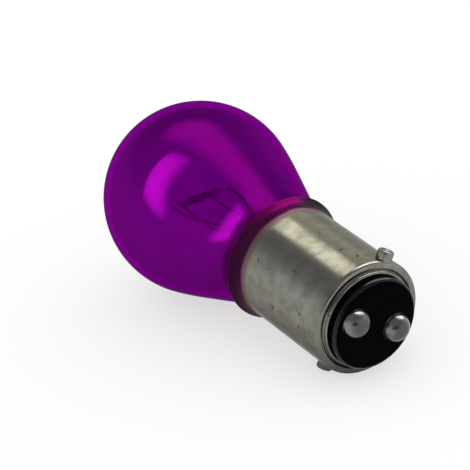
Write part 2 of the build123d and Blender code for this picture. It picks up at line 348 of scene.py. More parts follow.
class Outline:
    """Half section of a turned piece: points of (radius, height) along lines and arcs."""

    def __init__(self, radius: float, height: float) -> None:
        """Starts the outline at a point."""
        self.points: list[Flat] = [(radius, height)]

    def line(self, radius: float, height: float, steps: int = 1) -> None:
        """Goes straight on to a point.

        Args:
            radius: Distance of the point from the axis.
            height: Height of the point.
            steps: Number of even steps on the way.
        """
        start = self.points[-1]
        for step in range(1, steps + 1):
            share = step / steps
            across = start[0] + (radius - start[0]) * share
            self.points.append((across, start[1] + (height - start[1]) * share))

    def arc(self, centre: Flat, turn: float, steps: int) -> None:
        """Goes on round a centre.

        Args:
            centre: Middle of the arc, as (radius, height).
            turn: Angle in degrees, plus from the radius toward the height.
            steps: Number of points added.
        """
        start = self.points[-1]
        reach = hypot(start[0] - centre[0], start[1] - centre[1])
        angle = atan2(start[1] - centre[1], start[0] - centre[0])
        for step in range(1, steps + 1):
            now = angle + radians(turn) * step / steps
            self.points.append((centre[0] + reach * cos(now), centre[1] + reach * sin(now)))

    def beside(self, reach: float, angle: float) -> Flat:
        """Point at a distance from the last one, at an angle in degrees from the radius."""
        radius, height = self.points[-1]
        return (radius + reach * cos(radians(angle)), height + reach * sin(radians(angle)))

    def inset(self, depth: float) -> list[Flat]:
        """Moves the points square to the outline, toward the axis.

        Args:
            depth: Distance that they move.

        Returns:
            The moved points, with the first one still on the axis.
        """
        moved = [(0.0, self.points[0][1] - depth)]
        for before, here, after in zip(self.points, self.points[1:], self.points[2:] + self.points[-1:]):
            run = (after[0] - before[0], after[1] - before[1])
            share = depth / hypot(*run)
            moved.append((here[0] + run[1] * share, here[1] - run[0] * share))
        return moved

    def mesh(self, closed: bool) -> Mesh:
        """Makes a mesh of the outline's edges, set beside the rail that it is swept round.

        Args:
            closed: Whether the outline's end joins its start.

        Returns:
            The mesh.
        """
        points = [(radius - RAIL_RADIUS, -height, 0) for radius, height in self.points]
        return path_mesh(points, closed)


def path_mesh(points: list[Point], closed: bool = False) -> Mesh:
    """Makes a mesh of the edges along a list of points.

    Args:
        points: Points in order.
        closed: Whether the last point joins the first.

    Returns:
        The mesh.
    """
    edges = [(i, i + 1) for i in range(len(points) - 1)]
    if closed:
        edges.append((len(points) - 1, 0))
    mesh = bpy.data.meshes.new("path")
    mesh.from_pydata(points, edges, [])
    return mesh


def finish_mesh(mesh: Mesh, merge: float = 0.0) -> None:
    """Closes a mesh, points its faces outward and marks its sharp edges.

    Args:
        mesh: Mesh to change.
        merge: Distance under which points are merged.
    """
    form = bmesh.new()
    form.from_mesh(mesh)
    if merge:
        bmesh.ops.remove_doubles(form, verts=form.verts, dist=merge)
    bmesh.ops.recalc_face_normals(form, faces=form.faces)
    for face in form.faces:
        face.smooth = True
    for edge in form.edges:
        edge.smooth = len(edge.link_faces) == 2 and edge.calc_face_angle() < SHARP_ANGLE
    form.to_mesh(mesh)
    form.free()


def place_piece(name: str, mesh: Mesh, node: str) -> Object:
    """Puts a finished mesh in the scene in the place of a node.

    Args:
        name: Name of the new piece.
        mesh: Mesh in metres, in the frame.
        node: Node that the piece stands for.

    Returns:
        The piece.
    """
    piece = add_object(name, mesh)
    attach(piece, BODY)
    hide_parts(node)
    LOG.info("%s: %d faces, stands for %s", name, len(mesh.polygons), node)
    return piece


@dataclass(frozen=True)
class BulbAxes:
    """The bulb's own axes in the frame, from the mounts of its cap and pin."""

    origin: Vector
    along: Vector
    pin: Vector

    @classmethod
    def from_record(cls, record: dict) -> "BulbAxes":
        """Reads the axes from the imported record.

        Args:
            record: The record, with its mounts.

        Returns:
            The axes.
        """
        mounts = {mount["name"]: mount for mount in record["mounts"]}
        along = -Vector(mounts["bayonet_cap"]["axis"]).normalized()
        pin = Vector(mounts["near_pin"]["axis"]).normalized()
        return cls(Vector(mounts["bayonet_cap"]["pos_m"]), along, pin)

    def matrix(self) -> Matrix:
        """Takes millimetres in the bulb's axes to metres in the frame."""
        turn = Matrix((self.pin, self.along.cross(self.pin), self.along)).transposed().to_4x4()
        return Matrix.Translation(self.origin) @ turn @ Matrix.Scale(MM, 4)


@dataclass
class Workshop:
    """What every sub-assembly needs: the bulb's axes, the shape trees and the finishes."""

    axes: BulbAxes
    finishes: dict[Slot, Material]
    turned: ShapeTree = field(default_factory=turned_tree)
    wire: ShapeTree = field(default_factory=wire_tree)
    coil: ShapeTree = field(default_factory=coil_tree)

    def turn(self, node: str, outline: Outline, slot: Slot, segments: int, closed: bool = False,
             at: Matrix = Matrix.Identity(4)) -> None:
        """Turns an outline into the piece for a node.

        Args:
            node: Node that the piece stands for.
            outline: Half section of the piece.
            slot: Material slot.
            segments: Number of faces round the axis.
            closed: Whether the outline's end joins its start.
            at: Place in the bulb's axes.
        """
        values = {"Segments": segments, "Finish": self.finishes[slot]}
        mesh = self.turned.run(f"{node}_turned", outline.mesh(closed), values)
        self.settle(node, mesh, slot, at)

    def settle(self, node: str, mesh: Mesh, slot: Slot, at: Matrix = Matrix.Identity(4)) -> None:
        """Moves a mesh from the bulb's axes into the frame, as the piece for a node.

        Args:
            node: Node that the piece stands for.
            mesh: Mesh in millimetres.
            slot: Material slot; not used.
            at: Place in the bulb's axes.
        """
        mesh.transform(self.axes.matrix() @ at)
        finish_mesh(mesh)
        place_piece(mesh.name, mesh, node)

    def smooth_copy(self, node: str, slot: Slot) -> Object:
        """Copies a node's own shape, with merged points and smooth faces.

        Args:
            node: Node to copy.
            slot: Material slot.

        Returns:
            The piece that stands for the node.
        """
        mesh = frame["nodes"][node].data.copy()
        mesh.name = f"{node}_smooth"
        finish_mesh(mesh, merge=COPY_MERGE)
        mesh.materials.clear()
        mesh.materials.append(self.finishes[slot])
        return place_piece(mesh.name, mesh, node)


# Shared shader groups

def new_group(name: str, inputs: dict[str, tuple], outputs: dict[str, str]) -> Graph:
    """Starts a shader group.

    Args:
        name: Name of the group.
        inputs: Socket type and default of each named input.
        outputs: Socket type of each named output.

    Returns:
        A graph to build the group with.
    """
    tree = bpy.data.node_groups.new(name, "ShaderNodeTree")
    for label, (kind, value) in inputs.items():
        tree.interface.new_socket(name=label, in_out="INPUT", socket_type=kind).default_value = value
    for label, kind in outputs.items():
        tree.interface.new_socket(name=label, in_out="OUTPUT", socket_type=kind)
    return Graph(tree)


def mottle_group() -> NodeTree:
    """Makes the group that blends two colours in soft cloudy patches with fine break-up.

    Returns:
        The group's tree.
    """
    inputs = {
        "First": (COLOUR, (1, 1, 1, 1)),
        "Second": (COLOUR, (0, 0, 0, 1)),
        "Scale": (FLOAT, 300.0),
        "Low": (FLOAT, 0.4),
        "High": (FLOAT, 0.65),
    }
    graph = new_group("Mottle", inputs, {"Colour": COLOUR, "Mask": FLOAT})
    given = graph.add("NodeGroupInput").outputs
    mask = graph.ramp(graph.noise(given["Scale"], detail=5.0, roughness=0.6), given["Low"], given["High"])
    shown = graph.mix(mask, given["First"], given["Second"])
    graph.add("NodeGroupOutput", {"Colour": shown, "Mask": mask})
    return graph.tree


def grain_group() -> NodeTree:
    """Makes the group that gives the height of a fine grain and a mask of small pits.

    Returns:
        The group's tree.
    """
    inputs = {"Scale": (FLOAT, 3000.0), "Pit scale": (FLOAT, 700.0), "Pit level": (FLOAT, 0.72)}
    graph = new_group("Grain and pits", inputs, {"Height": FLOAT, "Pits": FLOAT})
    given = graph.add("NodeGroupInput").outputs
    fine = graph.noise(given["Scale"], detail=3.0)
    spots = graph.noise(given["Pit scale"], detail=1.0)
    pits = graph.ramp(spots, given["Pit level"], graph.math("ADD", given["Pit level"], PIT_EDGE))
    sunk = graph.math("MULTIPLY_ADD", pits, -PIT_DEPTH, fine)
    graph.add("NodeGroupOutput", {"Height": sunk, "Pits": pits})
    return graph.tree


def place_group(axes: BulbAxes) -> NodeTree:
    """Makes the group that tells where a point lies on the bulb, in millimetres.

    Its outputs are the height along the axis from the rim's face, the rise above the floor, how far
    the point lies on the far side, and a mask of the lying bulb's crown.

    Args:
        axes: The bulb's axes in the frame.

    Returns:
        The group's tree.
    """
    outputs = dict.fromkeys(("Height", "Rise", "Far", "Crown"), FLOAT)
    graph = new_group("Place on the bulb", {}, outputs)
    place = graph.place()
    offset = graph.add("ShaderNodeVectorMath", {0: place, 1: axes.origin}, operation="SUBTRACT").outputs[0]
    along = graph.add("ShaderNodeVectorMath", {0: offset, 1: axes.along / MM}, operation="DOT_PRODUCT")
    sides = graph.add("ShaderNodeSeparateXYZ", {0: place}).outputs
    rise = graph.math("DIVIDE", sides["Z"], MM)
    far = graph.math("DIVIDE", sides["Y"], MM)
    # The crown: the lit top, where the lip gets a painted highlight
    near = graph.ramp(far, *CROWN_FAR, 1.0, 0.0)
    crown = graph.math("MULTIPLY", graph.ramp(rise, *CROWN_RISE), near)
    shown = {"Height": along.outputs["Value"], "Rise": rise, "Far": far, "Crown": crown}
    graph.add("NodeGroupOutput", shown)
    return graph.tree


@dataclass
class SharedGroups:
    """The shader groups that several finishes place."""

    axes: BulbAxes
    mottle: NodeTree = field(default_factory=mottle_group)
    grain: NodeTree = field(default_factory=grain_group)

    def __post_init__(self) -> None:
        """Builds the group that depends on the bulb's axes."""
        self.place = place_group(self.axes)


# Finishes

@dataclass
class Skin:
    """The Principled surface of a material being dressed, with the shared groups at hand."""

    graph: Graph
    surface: Node
    groups: SharedGroups

    def feed(self, values: dict[str, object]) -> None:
        """Links or sets inputs of the surface."""
        self.graph.feed(self.surface, values)

    def mottle(self, inputs: dict[str, object]) -> Sockets:
        """Outputs of the shared cloudy patches."""
        return self.graph.group(self.groups.mottle, inputs)

    def grain(self, inputs: dict[str, object]) -> Sockets:
        """Outputs of the shared grain and pits."""
        return self.graph.group(self.groups.grain, inputs)

    def place(self) -> Sockets:
        """Outputs that tell where a point lies on the bulb."""
        return self.graph.group(self.groups.place, {})

    def relieve(self, height: Socket, depth: float) -> None:
        """Gives the surface a small relief of that depth in millimetres."""
        bump = self.graph.add("ShaderNodeBump", {"Height": height, "Distance": MM * depth, "Strength": 1.0})
        self.feed({"Normal": bump.outputs["Normal"]})


@dataclass(frozen=True)
class Finish:
    """A finish: a Principled surface whose values change over the piece."""

    name: str

    def build(self, groups: SharedGroups) -> Material:
        """Makes the material.

        Args:
            groups: Shader groups that the finishes share.

        Returns:
            The material, dressed by the finish.
        """
        material = bpy.data.materials.new(self.name)
        material.use_nodes = True
        surface = material.node_tree.nodes["Principled BSDF"]
        self.dress(Skin(Graph(material.node_tree), surface, groups))
        return material

    def dress(self, skin: Skin) -> None:
        """Sets the values of the surface; each kind of finish has its own."""
        raise NotImplementedError


@dataclass(frozen=True)
class GlassFinish(Finish):
    """See-through glass with an even tint, faint haze and slow waves in its surface."""

    tint: Colour
    deep_tint: Colour
    gloss_tint: Colour = (1.0, 1.0, 1.0)
    roughness: float = 0.02
    haze: float = 0.05
    ior: float = 1.5
    relief: float = 0.004
    lacquer: Colour = (1.0, 1.0, 1.0)
    lacquer_ior: float = 1.004
    shadow: Colour = (0.8, 0.8, 0.8)
    # Painted shade on the glass in the crease by the cap's lip, with more haze there
    crease_shade: Colour = (0.9, 0.9, 0.9)
    crease_shade_ends: Flat = (-0.9, 0.4)
    crease_haze: float = 0.3

    def dress(self, skin: Skin) -> None:
        """Tints and hazes the glass, with painted shade in the crease by the cap's lip, left off the lit
        crown.

        Args:
            skin: Surface to dress.
        """
        graph = skin.graph
        mottle = skin.mottle({"First": rgba(self.tint), "Second": rgba(self.deep_tint), "Scale": 260.0})
        grain = skin.grain({"Scale": 420.0, "Pit scale": 1500.0, "Pit level": 0.78})
        place = skin.place()
        # Painted shade next to the lip, kept off the lit crown
        low = graph.ramp(place["Height"], *self.crease_shade_ends, 1.0, 0.0)
        crease_mask = graph.math("MULTIPLY", low, graph.math("SUBTRACT", 1.0, place["Crown"]))
        dusty = graph.ramp(grain["Pits"], 0.0, 1.0, self.roughness, self.haze)
        skin.relieve(grain["Height"], self.relief)
        skin.feed({
            "Base Color": graph.mix(crease_mask, mottle["Colour"], rgba(self.crease_shade)),
            "Roughness": graph.math("MULTIPLY_ADD", crease_mask, self.crease_haze, dusty),
            "IOR": self.ior,
            "Transmission Weight": 1.0,
            "Specular Tint": rgba(self.gloss_tint),
            "Coat Weight": 1.0,
            "Coat Tint": rgba(self.lacquer),
            "Coat IOR": self.lacquer_ior,
            "Coat Roughness": self.roughness,
        })
        self.pass_lamps(skin)

    def pass_lamps(self, skin: Skin) -> None:
        """Lets the light of lamps straight through, tinted, so that the shadow is soft.

        Args:
            skin: Surface that the light passes.
        """
        graph = skin.graph
        clear = graph.add("ShaderNodeBsdfTransparent", {"Color": rgba(self.shadow)}).outputs[0]
        is_shadow = graph.add("ShaderNodeLightPath").outputs["Is Shadow Ray"]
        mixed = graph.add("ShaderNodeMixShader", {0: is_shadow, 1: skin.surface.outputs[0], 2: clear})
        graph.feed(graph.tree.nodes["Material Output"], {"Surface": mixed.outputs[0]})


@dataclass(frozen=True)
class MetalFinish(Finish):
    """Bare or plated metal with cloudy tarnish, fine grain and small pits."""

    bright: Colour
    dull: Colour
    pit: Colour
    polish: float
    tarnish: float
    cloud: float = 320.0
    low: float = 0.42
    high: float = 0.68
    pit_scale: float = 650.0
    pit_level: float = 0.72
    relief: float = 0.002

    def plain(self, skin: Skin) -> tuple[Socket, Socket]:
        """Gives the surface its relief and works out the plain metal.

        Args:
            skin: Surface to dress.

        Returns:
            Colour and roughness of the plain metal.
        """
        patches = {"First": rgba(self.bright), "Second": rgba(self.dull), "Scale": self.cloud}
        mottle = skin.mottle(patches | {"Low": self.low, "High": self.high})
        grain = skin.grain({"Pit scale": self.pit_scale, "Pit level": self.pit_level})
        skin.relieve(grain["Height"], self.relief)
        colour = skin.graph.mix(grain["Pits"], mottle["Colour"], rgba(self.pit))
        return colour, skin.graph.ramp(mottle["Mask"], 0.0, 1.0, self.polish, self.tarnish)

    def dress(self, skin: Skin) -> None:
        """Dresses the surface as plain metal."""
        colour, rough = self.plain(skin)
        skin.feed({"Base Color": colour, "Roughness": rough, "Metallic": 1.0})


@dataclass(frozen=True)
class CapFinish(MetalFinish):
    """Plated cap: lacquered lip, tarnish band, painted glass reflection, highlight and underside shade."""

    lacquer: Colour = (0.04, 0.0015, 0.03)
    # Painted highlight: a lighter lacquer colour on the lit crown of the lip
    painted_crown_highlight: Colour = (0.15, 0.003, 0.09)
    # Darker lacquer colour on the far side of the lip
    far_side_lacquer: Colour = (0.012, 0.001, 0.01)
    # Painted pink reflection of the purple glass in the metal just below the lip
    painted_glass_reflection: Colour = (0.21, 0.12, 0.14)
    verdigris: Colour = (0.19, 0.235, 0.15)
    verdigris_share: float = 0.85
    edge_tint: Colour = (0.52, 0.52, 0.49)
    tint_edge: float = 13.2
    film_edge: float = 14.7
    # Middle of the band of painted glass reflection, where the tarnish band ends
    reflection_band_edge: float = 15.3
    lacquer_edge: float = 15.9
    # Where the painted highlight on the crown begins
    crown_highlight_edge: float = 16.8
    blend: float = 0.5
    wander: float = 0.22
    film: float = 0.3
    gloss: float = 0.08
    # Painted shade: the metal darkens toward the floor below these rises in mm
    underside: Flat = (1.0, 9.5)
    underside_shade: float = 0.75
    far_side: Flat = (2.5, 4.5)

    def dress(self, skin: Skin) -> None:
        """Dresses the metal, its painted underside shade, tarnish band, painted glass reflection and
        lacquered lip.

        Args:
            skin: Surface to dress.
        """
        graph = skin.graph
        colour, rough = self.plain(skin)
        place = skin.place()
        wander = skin.mottle({"Scale": 220.0, "Low": 0.3, "High": 0.7})["Mask"]
        level = graph.math("MULTIPLY_ADD", wander, self.wander, place["Height"])
        # Painted shade on the underside, in the colour of the pits
        shaded = graph.ramp(place["Rise"], *self.underside, self.underside_shade, 0.0)
        colour = graph.mix(shaded, colour, rgba(self.pit))
        patchy = graph.math("MULTIPLY", graph.ramp(level, self.tint_edge, self.reflection_band_edge), wander)
        patchy = graph.math("MULTIPLY", patchy, self.verdigris_share)
        colour = graph.mix(patchy, colour, rgba(self.verdigris))
        # Painted pink reflection of the glass in a band below the lip
        reflection_band = graph.ramp(level, self.reflection_band_edge - self.blend, self.reflection_band_edge + self.blend)
        colour = graph.mix(reflection_band, colour, rgba(self.painted_glass_reflection))
        # The lacquer's colour darkens toward the far side of the lip
        far = graph.ramp(place["Far"], *self.far_side)
        coat = graph.mix(far, rgba(self.lacquer), rgba(self.far_side_lacquer))
        # Painted highlight: lighter lacquer on the lit crown, which also stays metallic
        lit_crown = graph.ramp(level, self.crown_highlight_edge, self.crown_highlight_edge + self.blend)
        coat = graph.mix(graph.math("MULTIPLY", lit_crown, place["Crown"]), coat, rgba(self.painted_crown_highlight))
        covered = graph.ramp(level, self.lacquer_edge, self.lacquer_edge + self.blend)
        covered_off_crown = graph.math("MULTIPLY", covered, graph.math("SUBTRACT", 1.0, place["Crown"]))
        filmed = graph.ramp(level, self.film_edge, self.lacquer_edge, 0.0, self.film)
        skin.feed({
            "Base Color": graph.mix(covered, colour, coat),
            "Roughness": graph.math("ADD", rough, filmed),
            "Metallic": graph.math("SUBTRACT", 1.0, covered_off_crown),
            "Specular IOR Level": self.gloss,
            "Specular Tint": rgba(self.edge_tint),
        })


@dataclass(frozen=True)
class SolderFinish(MetalFinish):
    """Soft solder, with a painted dark reflection on the tips of the contacts."""

    # Painted dark reflection on the contacts' tips
    painted_tip_reflection: Colour = (0.1, 0.1, 0.106)
    tip_reflection_edge: float = -2.7
    blend: float = 0.3
    wander: float = 0.35
    tip_haze: float = 0.08

    def dress(self, skin: Skin) -> None:
        """Dresses the metal and the painted dark reflection on its tips.

        Args:
            skin: Surface to dress.
        """
        graph = skin.graph
        colour, rough = self.plain(skin)
        wander = skin.mottle({"Scale": 900.0, "Low": 0.3, "High": 0.7})["Mask"]
        level = graph.math("MULTIPLY_ADD", wander, self.wander, skin.place()["Height"])
        # Painted dark reflection on the tip, a little rougher there
        tip = graph.ramp(level, self.tip_reflection_edge - self.blend, self.tip_reflection_edge + self.blend, 1.0, 0.0)
        skin.feed({
            "Base Color": graph.mix(tip, colour, rgba(self.painted_tip_reflection)),
            "Roughness": graph.math("MULTIPLY_ADD", tip, self.tip_haze, rough),
            "Metallic": 1.0,
        })


@dataclass(frozen=True)
class CastFinish(Finish):
    """Solid cast or baked material with patches, grain and a clear gloss on a polished band."""

    base: Colour
    patch: Colour
    roughness: float
    rough_patch: float
    gloss: float = 0.5
    relief: float = 0.004
    cloud: float = 400.0
    polished: Flat | None = None
    polish_fade: Flat = (0.06, 0.1)
    polish: float = 0.5
    polish_roughness: float = 0.12

    def dress(self, skin: Skin) -> None:
        """Dresses the patches, the grain and the polished band.

        Args:
            skin: Surface to dress.
        """
        graph = skin.graph
        mottle = skin.mottle({"First": rgba(self.base), "Second": rgba(self.patch), "Scale": self.cloud})
        grain = skin.grain({"Scale": 900.0, "Pit scale": 1200.0, "Pit level": 0.74})
        skin.relieve(grain["Height"], self.relief)
        skin.feed({
            "Base Color": mottle["Colour"],
            "Roughness": graph.ramp(mottle["Mask"], 0.0, 1.0, self.roughness, self.rough_patch),
            "Specular IOR Level": self.gloss,
        })
        if self.polished:
            height = skin.place()["Height"]
            low, high = self.polished
            above = graph.ramp(height, low, low + self.polish_fade[0])
            below = graph.ramp(height, high, high + self.polish_fade[1], 1.0, 0.0)
            band = graph.math("MULTIPLY", above, below)
            coat = graph.math("MULTIPLY", band, self.polish)
            skin.feed({"Coat Weight": coat, "Coat Roughness": self.polish_roughness})


FINISHES: dict[Slot, Finish] = {
    Slot.PURPLE_GLASS: GlassFinish(
        "Purple lacquered glass", tint=(0.6, 0.035, 0.65), deep_tint=(0.54, 0.03, 0.6),
        gloss_tint=(1.0, 0.02, 1.0), ior=1.58, roughness=0.04, lacquer=(0.79, 0.17, 0.82),
        # The nearly black colour here is painted shade in the crease by the cap's lip
        shadow=(0.55, 0.35, 0.56), crease_shade=(0.03, 0.001, 0.035), crease_shade_ends=(19.3, 20.6),
    ),
    Slot.CLEAR_GLASS: GlassFinish("Clear stem glass", tint=(0.95, 0.97, 0.96), deep_tint=(0.9, 0.94, 0.92)),
    Slot.TUNGSTEN: MetalFinish(
        "Tungsten wire", bright=(0.30, 0.30, 0.32), dull=(0.2, 0.2, 0.22), pit=(0.1, 0.1, 0.1),
        polish=0.3, tarnish=0.5,
    ),
    Slot.NICKEL: CapFinish(
        "Nickel plated cap", bright=(0.25, 0.245, 0.22), dull=(0.17, 0.165, 0.145), pit=(0.05, 0.045, 0.035),
        polish=0.16, tarnish=0.26, cloud=560.0, low=0.28, high=0.72, pit_scale=1000.0, pit_level=0.73,
    ),
    Slot.BLACK_GLASS: CastFinish(
        "Black cast glass", base=(0.001, 0.001, 0.0015), patch=(0.002, 0.002, 0.0035),
        roughness=0.2, rough_patch=0.32, gloss=0.01, polished=(-1.7, -1.3),
    ),
    Slot.BRASS: MetalFinish(
        "Brass eyelet", bright=(0.5, 0.38, 0.2), dull=(0.3, 0.21, 0.1), pit=(0.12, 0.08, 0.04),
        polish=0.25, tarnish=0.4,
    ),
    Slot.SOLDER: SolderFinish(
        "Soft solder", bright=(0.2, 0.2, 0.21), dull=(0.12, 0.12, 0.128), pit=(0.04, 0.04, 0.04),
        polish=0.2, tarnish=0.3, cloud=700.0, relief=0.004,
    ),
    Slot.CEMENT: CastFinish(
        "Baked cement", base=(0.5, 0.43, 0.34), patch=(0.38, 0.32, 0.25),
        roughness=0.85, rough_patch=0.95, relief=0.02,
    ),
    Slot.LEAD_WIRE: MetalFinish(
        "Nickel wire", bright=(0.56, 0.54, 0.5), dull=(0.4, 0.37, 0.33), pit=(0.18, 0.17, 0.15),
        polish=0.25, tarnish=0.42,
    ),
}


# Sub-assemblies

@dataclass
class Envelope:
    """The blown glass: globe, soft shoulder, straight cone, hollow neck and the tuck under the cap's lip."""

    shop: Workshop
    globe_radius: float = 12.794
    globe_height: float = 36.9
    wall: float = 0.7
    shoulder_tilt: float = 16.0
    shoulder_round: float = 68.0
    cone_tilt: float = 20.0
    cone_foot: float = 23.5
    neck_radius: float = 7.3
    lip_height: float = 17.8
    seal_radius: float = 5.3
    seal_height: float = 10.6
    neck_tuck: float = 0.3
    tuck_steps: int = 16
    segments: int = 160

    def half(self) -> Outline:
        """Draws the outer face of the glass from the globe's tip down to the seal.

        Returns:
            The outline.
        """
        lean = radians(self.cone_tilt)
        line = Outline(0, self.globe_height + self.globe_radius)
        line.arc((0, self.globe_height), -90 - self.shoulder_tilt, steps=80)
        shoulder = line.beside(-self.shoulder_round, -self.shoulder_tilt)
        line.arc(shoulder, self.shoulder_tilt - self.cone_tilt, steps=16)
        radius, height = line.points[-1]
        line.line(radius - (height - self.cone_foot) * tan(lean), self.cone_foot, steps=12)
        radius, height = line.points[-1]
        inward = self.neck_radius - radius
        down = self.lip_height - height
        hollow = (inward ** 2 + down ** 2) / (2 * (inward * cos(lean) - down * sin(lean)))
        sweep = 2 * (lean - atan2(-inward, -down))
        line.arc(line.beside(hollow, -self.cone_tilt), degrees(sweep), steps=20)
        for step in range(1, self.tuck_steps + 1):
            share = step / self.tuck_steps
            bow = 4 * share * (1 - share) * self.neck_tuck
            taper = (self.neck_radius - self.seal_radius) * share
            fall = (self.lip_height - self.seal_height) * share
            line.points.append((self.neck_radius - taper - bow, self.lip_height - fall))
        return line

    def build(self) -> None:
        """Builds the glass as one closed wall."""
        line = self.half()
        inner = line.inset(self.wall)
        line.points += reversed(inner)
        self.shop.turn("glass_envelope", line, Slot.PURPLE_GLASS, self.segments)


@dataclass
class Cap:
    """The plated cap: shell with flared lip, pins, black glass insulator, eyelets and solder contacts."""

    shop: Workshop
    radius: float = 7.5
    wall: float = 0.3
    length: float = 17.8
    rim_round: float = 0.5
    end_wall: float = 0.5
    rim_width: float = 0.85
    groove_width: float = 0.3
    groove_depth: float = 0.15
    collar_width: float = 0.6
    lip_flare: float = 0.88
    flare_length: float = 2.2
    shell_segments: int = 192
    pin_radius: float = 1.0
    pin_stand: float = 1.1
    pin_round: float = 0.25
    pin_dimple: float = 0.5
    pin_dimple_depth: float = 0.45
    pin_segments: int = 48
    near_pin_height: float = 1.05
    far_pin_height: float = 4.0
    boss_height: float = 1.75
    boss_face: float = 5.45
    boss_edge: float = -1.4
    boss_swell: float = 2.0
    contact_spacing: float = 6.5
    contact_radius: float = 1.9
    contact_height: float = 1.65
    contact_plug: float = 1.0
    contact_segments: int = 64
    plug_radius: float = 0.7
    skin_foot: float = -0.05
    skin_scale: float = 0.9
    skin_depth: float = 0.03

    def shell_outline(self) -> Outline:
        """Draws the half section of the shell, round from the lip's outer edge and back.

        Returns:
            The outline.
        """
        bore = self.radius - self.wall
        flare = (self.flare_length ** 2 + self.lip_flare ** 2) / (2 * self.lip_flare)
        edge = self.wall / 2
        angle = degrees(asin(self.flare_length / flare) - edge / flare)
        start = self.length - self.flare_length
        centre = (self.radius + flare, start)
        groove_outer = self.radius - self.rim_width
        groove_inner = groove_outer - self.groove_width
        groove = self.groove_width / 2
        collar = self.collar_width / 2
        collar_bore = groove_inner - self.collar_width
        line = Outline(centre[0] - flare * cos(radians(angle)), start + flare * sin(radians(angle)))
        line.arc(centre, angle, steps=20)
        line.line(self.radius, self.rim_round, steps=24)
        line.arc((self.radius - self.rim_round, self.rim_round), -90, steps=8)
        line.line(groove_outer, 0)
        line.line(groove_outer - groove, self.groove_depth, steps=2)
        line.line(groove_inner, 0, steps=2)
        line.arc((groove_inner - collar, 0), -180, steps=14)
        line.line(collar_bore, self.end_wall)
        line.line(bore, self.end_wall)
        line.line(bore, start, steps=12)
        line.arc(centre, -angle, steps=20)
        line.arc(line.beside(edge, -angle), -180, steps=8)
        return line

    def pin_outline(self) -> Outline:
        """Draws the half section of a pin, from the middle of its dimple to inside the wall.

        Returns:
            The outline along the pin's own axis.
        """
        tip = self.radius + self.pin_stand
        foot = self.radius - self.wall / 2
        face = self.pin_radius - self.pin_round
        line = Outline(0, tip - self.pin_dimple_depth)
        line.line(self.pin_dimple, tip, steps=3)
        line.line(face, tip)
        line.arc((face, tip - self.pin_round), -90, steps=8)
        line.line(self.pin_radius, foot, steps=4)
        line.line(0, foot)
        return line

    def build_pin(self, node: str, height: float, turn: float) -> None:
        """Builds one bayonet pin.

        Args:
            node: Node that the pin stands for.
            height: Height of the pin's axis above the rim.
            turn: Angle of the pin round the bulb's axis.
        """
        lie = Matrix.Rotation(radians(90), 4, "Y")
        at = Matrix.Rotation(radians(turn), 4, "Z") @ Matrix.Translation((0, 0, height)) @ lie
        self.shop.turn(node, self.pin_outline(), Slot.NICKEL, self.pin_segments, at=at)

    def build_contact(self, node: str, side: int, seed: float) -> None:
        """Builds one solder contact: a dome with a slightly uneven skin on a plug in its eyelet.

        Args:
            node: Node that the contact stands for.
            side: Side of the axis, 1 or -1.
            seed: Shift of the unevenness.
        """
        dome = (self.contact_radius ** 2 + self.contact_height ** 2) / (2 * self.contact_height)
        angle = degrees(acos((dome - self.contact_height) / dome))
        line = Outline(0, -self.contact_height)
        line.arc((0, dome - self.contact_height), angle, steps=24)
        line.line(self.plug_radius, 0, steps=3)
        line.line(self.plug_radius, self.contact_plug, steps=4)
        line.line(0, self.contact_plug)
        values = {"Segments": self.contact_segments, "Finish": self.shop.finishes[Slot.SOLDER]}
        mesh = self.shop.turned.run(f"{node}_domed", line.mesh(False), values)
        for point in mesh.vertices:
            if point.co.z < self.skin_foot:
                swell = noise.noise(Vector((point.co.x + seed, point.co.y, point.co.z)) * self.skin_scale)
                point.co *= 1 - self.skin_depth * (1 + swell) / 2
        at = Matrix.Translation((0, side * self.contact_spacing / 2, -self.boss_height))
        self.shop.settle(node, mesh, Slot.SOLDER, at)

    def build_insulator(self) -> None:
        """Builds the black glass: the node's own shape with a fuller round at the boss's edge."""
        piece = self.shop.smooth_copy("insulator", Slot.BLACK_GLASS)
        place = self.shop.axes.matrix()
        inward = place.inverted()
        for point in piece.data.vertices:
            spot = inward @ point.co
            reach = hypot(spot.x, spot.y)
            if reach > self.boss_face and spot.z < self.boss_edge:
                wide = (self.boss_face + (reach - self.boss_face) * self.boss_swell) / reach
                low = (spot.z + self.boss_height) * self.boss_swell - self.boss_height
                point.co = place @ Vector((spot.x * wide, spot.y * wide, low))

    def build(self) -> None:
        """Builds every piece of the cap."""
        shop = self.shop
        shop.turn("cap_shell", self.shell_outline(), Slot.NICKEL, self.shell_segments, closed=True)
        self.build_pin("near_bayonet_pin", self.near_pin_height, 0)
        self.build_pin("far_bayonet_pin", self.far_pin_height, 180)
        self.build_insulator()
        for node in ("major_contact_eyelet", "minor_contact_eyelet"):
            shop.smooth_copy(node, Slot.BRASS)
        self.build_contact("major_solder_contact", -1, 3.7)
        self.build_contact("minor_solder_contact", 1, 11.2)
        shop.smooth_copy("base_cement", Slot.CEMENT)
        shop.smooth_copy("ground_solder", Slot.SOLDER)


@dataclass(frozen=True)
class Filament:
    """One coiled filament: its place on the mount, its coil and the share of each straight leg."""

    node: str
    height: float
    reach: float
    side: float
    turns: float
    coil_radius: float
    wire_radius: float
    leg_share: float

    def build(self, shop: Workshop, turn: float) -> None:
        """Builds the filament between its two leads.

        Args:
            shop: What the pieces are made with.
            turn: Angle of the mount round the bulb's axis.
        """
        straight = path_mesh([(-self.reach, 0, 0), (self.reach, 0, 0)])
        values = {
            "Turns": self.turns,
            "Coil radius": self.coil_radius,
            "Leg share": self.leg_share,
            "Wire radius": self.wire_radius,
            "Points": int(self.turns * TURN_POINTS + 2 * LEG_POINTS),
            "Finish": shop.finishes[Slot.TUNGSTEN],
        }
        mesh = shop.coil.run(f"{self.node}_coiled", straight, values)
        at = Matrix.Rotation(radians(turn), 4, "Z") @ Matrix.Translation((0, self.side, self.height))
        shop.settle(self.node, mesh, Slot.TUNGSTEN, at)


